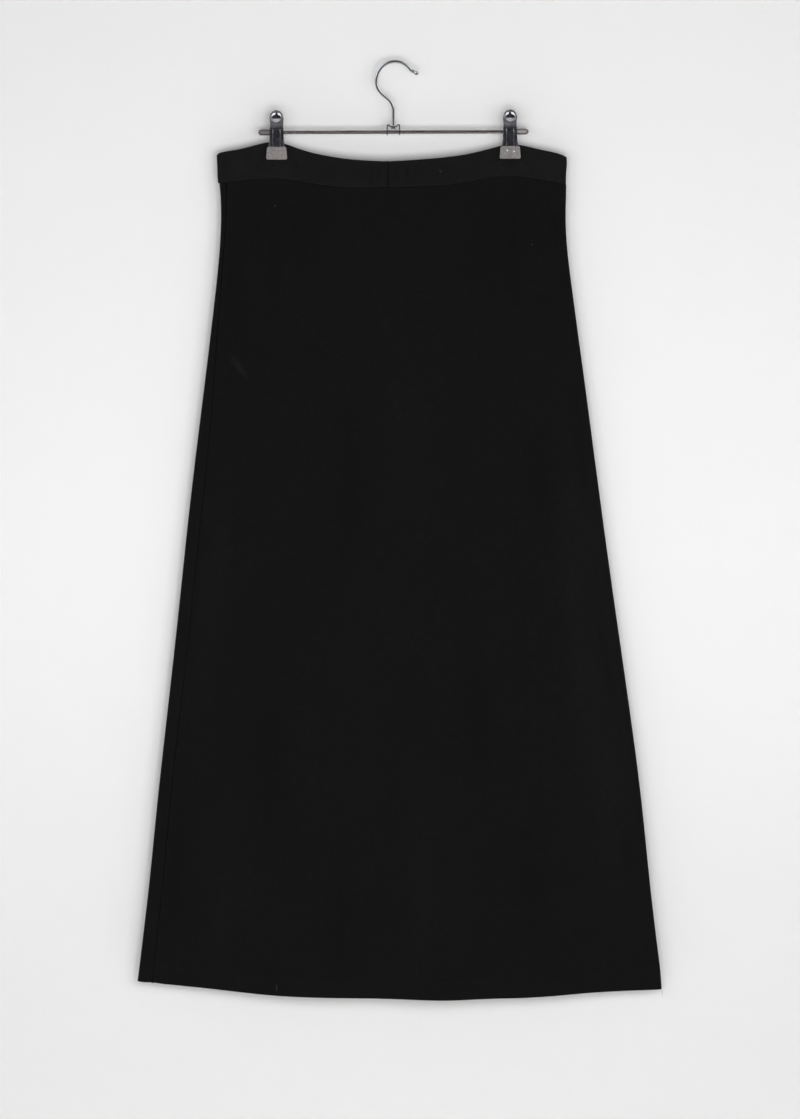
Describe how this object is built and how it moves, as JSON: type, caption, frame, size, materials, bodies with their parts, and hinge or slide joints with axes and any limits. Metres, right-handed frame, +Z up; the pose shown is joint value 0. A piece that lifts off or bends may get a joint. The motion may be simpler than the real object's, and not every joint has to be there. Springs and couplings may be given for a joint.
{
  "type": "maxi skirt on clip hanger",
  "caption": "Long black A-line knitted skirt with a plain waistband, hung flat by its waist from a wire hanger with two spring clips.",
  "frame": {"origin": "the seat of the hook: the inside top of its bend, where the hanger hangs on a rail", "axes": "+Z up; the shown side of the skirt faces -Y; +X to the right of someone who looks at the shown side"},
  "size_m": [0.5821, 0.0471, 1.0426],
  "materials": {
    "jersey": "matte fine knitted jersey, black",
    "waistband_jersey": "matte fine knitted jersey, folded double, black",
    "bright_chrome": "bright chrome plated steel wire and sheet",
    "dark_steel": "satin black nickel plated steel",
    "spring_steel": "bright spring wire",
    "boot_vinyl": "soft frosted grey vinyl",
    "cap_plastic": "moulded dark grey plastic"
  },
  "bodies": {
    "root": {"front_panel": "jersey", "back_panel": "jersey", "waistband": "waistband_jersey", "hook": "bright_chrome", "saddle": "bright_chrome", "bar": "dark_steel", "bar_cap_left": "cap_plastic", "bar_cap_right": "cap_plastic", "clip_left_front_jaw": "dark_steel", "clip_left_front_boot": "boot_vinyl", "clip_left_back_jaw": "dark_steel", "clip_left_back_boot": "boot_vinyl", "clip_left_spring": "spring_steel", "clip_right_front_jaw": "dark_steel", "clip_right_front_boot": "boot_vinyl", "clip_right_back_jaw": "dark_steel", "clip_right_back_boot": "boot_vinyl", "clip_right_spring": "spring_steel"}
  },
  "joints": []
}
